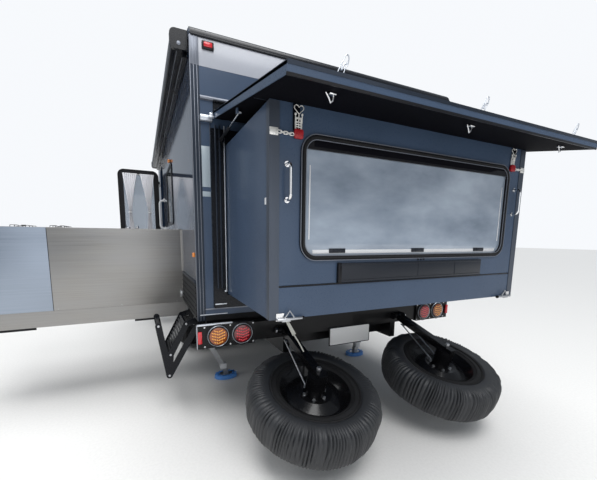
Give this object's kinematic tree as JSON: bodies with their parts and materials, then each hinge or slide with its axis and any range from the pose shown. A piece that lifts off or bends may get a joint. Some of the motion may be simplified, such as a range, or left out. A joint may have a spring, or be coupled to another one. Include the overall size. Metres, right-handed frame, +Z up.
{
  "type": "off-road hybrid camper trailer",
  "caption": "Off-road camper trailer parked with its rear box slid out under a raised lid, spare wheels swung down, side kitchen out and entry door open.",
  "frame": {"origin": "centre of the tow eye at the front end of the drawbar", "axes": "+X forwards along the drawbar, +Y to the trailer's left, +Z up"},
  "size_m": [7.1374, 3.75, 2.65],
  "materials": {
    "black_steel": "satin powder coat",
    "tank_plastic": "moulded",
    "underfloor": "matt sealed underside",
    "gloss_slate": "gloss composite skin",
    "slate": "satin slate composite skin",
    "roof_white": "gloss roof skin",
    "hatch_plastic": "moulded",
    "bare_aluminium": "satin anodised",
    "black_cladding": "textured black",
    "black_frame": "moulded",
    "grey_frame": "moulded",
    "tinted_glass": "tinted acrylic",
    "black_aluminium": "black powder coat",
    "lamp_lens": "clear moulded lens",
    "zinc_steel": "bright zinc plate",
    "white_metal": "gloss white",
    "bright_steel": "polished",
    "kitchen_steel": "brushed stainless",
    "curtain": "soft woven",
    "jockey_rubber": "moulded",
    "tyre": "rubber",
    "black_wheel": "satin black",
    "cover_fabric": "coated cloth, gathered"
  },
  "bodies": {
    "chassis": {"chassis_frame": "black_steel", "rear_beam": "black_steel", "tow_eye": "black_steel", "suspension": "black_steel", "stabiliser_brackets": "black_steel", "water_tanks": "tank_plastic", "floor_panel": "underfloor", "wall_left": "gloss_slate", "wall_right": "gloss_slate", "wall_rear": "slate", "wall_front": "gloss_slate", "roof_panel": "roof_white", "roof_hatch": "hatch_plastic", "corner_trims": "bare_aluminium", "side_cladding": "black_cladding", "wheel_arches": "black_cladding", "side_window_frames": "black_frame", "side_window_panes": "tinted_glass", "awning_cassette": "black_aluminium", "rear_wall_trims": "black_aluminium", "rear_lamps": "lamp_lens", "kitchen_runners": "zinc_steel", "door_hardware": "white_metal", "front_box": "black_cladding"},
    "slideout": {"slideout_shell": "slate", "slideout_rear_panel": "slate", "slideout_window_frame": "grey_frame", "slideout_window_pane": "tinted_glass", "slideout_corner_angles": "bare_aluminium", "slideout_fittings": "bright_steel"},
    "lid": {"lid_panel": "slate"},
    "kitchen": {"kitchen_cabinet": "kitchen_steel", "kitchen_top": "kitchen_steel"},
    "door": {"door_panel": "black_frame", "door_pane": "tinted_glass", "door_curtains": "curtain"},
    "front_lid": {"front_box_lid": "black_cladding"},
    "jockey_leg": {"jockey_leg": "zinc_steel"},
    "jockey_wheel": {"jockey_wheel": "jockey_rubber"},
    "step_rear": {"step_rear": "black_aluminium"},
    "step_entry": {"step_entry": "black_aluminium"},
    "wheel_left": {"tyre_left": "tyre", "rim_left": "black_wheel"},
    "carrier_left": {"spare_carrier_left": "black_wheel", "spare_cover_left": "cover_fabric"},
    "stabiliser_left": {"stabiliser_left": "zinc_steel"},
    "strut_cylinder_left": {"strut_cylinder_left": "black_steel"},
    "strut_rod_left": {"strut_rod_left": "bright_steel"},
    "wheel_right": {"tyre_right": "tyre", "rim_right": "black_wheel"},
    "carrier_right": {"spare_carrier_right": "black_wheel", "spare_cover_right": "cover_fabric"},
    "stabiliser_right": {"stabiliser_right": "zinc_steel"},
    "strut_cylinder_right": {"strut_cylinder_right": "black_steel"},
    "strut_rod_right": {"strut_rod_right": "bright_steel"}
  },
  "joints": [
    {"name": "wheel_left_spin", "type": "hinge", "parent": "chassis", "child": "wheel_left", "pos_m": [-4.05, 0.905, -0.155], "axis": [0, 1, 0], "continuous": true},
    {"name": "wheel_right_spin", "type": "hinge", "parent": "chassis", "child": "wheel_right", "pos_m": [-4.05, -0.905, -0.155], "axis": [0, 1, 0], "continuous": true},
    {"name": "slideout_run", "type": "slide", "parent": "chassis", "child": "slideout", "axis": [1, 0, 0], "range_m": [0, 0.74]},
    {"name": "carrier_left_swing", "type": "hinge", "parent": "chassis", "child": "carrier_left", "pos_m": [-6.085, 0.528, 0.126], "axis": [0, 1, 0], "range_deg": [0, 100.5]},
    {"name": "carrier_right_swing", "type": "hinge", "parent": "chassis", "child": "carrier_right", "pos_m": [-6.085, -0.528, 0.126], "axis": [0, 1, 0], "range_deg": [0, 100.5]},
    {"name": "lid_hinge", "type": "hinge", "parent": "chassis", "child": "lid", "pos_m": [-5.966, 0, 1.55463], "axis": [0, 1, 0], "range_deg": [0, 12]},
    {"name": "strut_left_tilt", "type": "hinge", "parent": "chassis", "child": "strut_cylinder_left", "pos_m": [-5.978, 0.936, 1.38], "axis": [0, 1, 0], "range_deg": [0, 12.5]},
    {"name": "strut_left_rod", "type": "slide", "parent": "strut_cylinder_left", "child": "strut_rod_left", "axis": [-0.9988, 0, 0.0496], "range_m": [0, 0.045]},
    {"name": "strut_right_tilt", "type": "hinge", "parent": "chassis", "child": "strut_cylinder_right", "pos_m": [-5.978, -0.936, 1.38], "axis": [0, 1, 0], "range_deg": [0, 12.5]},
    {"name": "strut_right_rod", "type": "slide", "parent": "strut_cylinder_right", "child": "strut_rod_right", "axis": [-0.9988, 0, 0.0496], "range_m": [0, 0.045]},
    {"name": "door_hinge", "type": "hinge", "parent": "chassis", "child": "door", "pos_m": [-2.43, 1.118, 1.01], "axis": [0, 0, 1], "range_deg": [0, 90]},
    {"name": "kitchen_run", "type": "slide", "parent": "chassis", "child": "kitchen", "axis": [0, -1, 0], "range_m": [0, 1.52]},
    {"name": "stabiliser_left_fold", "type": "hinge", "parent": "chassis", "child": "stabiliser_left", "pos_m": [-5.205, 1.04, 0.05], "axis": [-1, 0, 0], "range_deg": [0, 40]},
    {"name": "stabiliser_right_fold", "type": "hinge", "parent": "chassis", "child": "stabiliser_right", "pos_m": [-5.205, -1.04, 0.05], "axis": [1, 0, 0], "range_deg": [0, 40]},
    {"name": "jockey_crank", "type": "slide", "parent": "chassis", "child": "jockey_leg", "axis": [0, 0, 1], "range_m": [0, 0.12]},
    {"name": "jockey_spin", "type": "hinge", "parent": "jockey_leg", "child": "jockey_wheel", "pos_m": [-0.52, 0, -0.445], "axis": [0, 1, 0], "continuous": true},
    {"name": "front_lid_hinge", "type": "hinge", "parent": "chassis", "child": "front_lid", "pos_m": [-1.563, 0, 0.552], "axis": [0, -1, 0], "range_deg": [0, 75]},
    {"name": "step_rear_fold", "type": "hinge", "parent": "chassis", "child": "step_rear", "pos_m": [-5.55, 1.05, 0.165], "axis": [-1, 0, 0], "range_deg": [0, 85]},
    {"name": "step_entry_fold", "type": "hinge", "parent": "chassis", "child": "step_entry", "pos_m": [-2.737, 1.05, 0.165], "axis": [-1, 0, 0], "range_deg": [0, 85]}
  ],
  "couplings": [
    {"joint": "carrier_left_swing", "follows": "slideout_run", "rad_per_m": 2.3586},
    {"joint": "carrier_right_swing", "follows": "slideout_run", "rad_per_m": 2.3586},
    {"joint": "strut_left_tilt", "follows": "lid_hinge", "ratio": 0.9685},
    {"joint": "strut_left_rod", "follows": "lid_hinge", "m_per_rad": 0.17413},
    {"joint": "strut_right_tilt", "follows": "lid_hinge", "ratio": 0.9685},
    {"joint": "strut_right_rod", "follows": "lid_hinge", "m_per_rad": 0.17413}
  ]
}
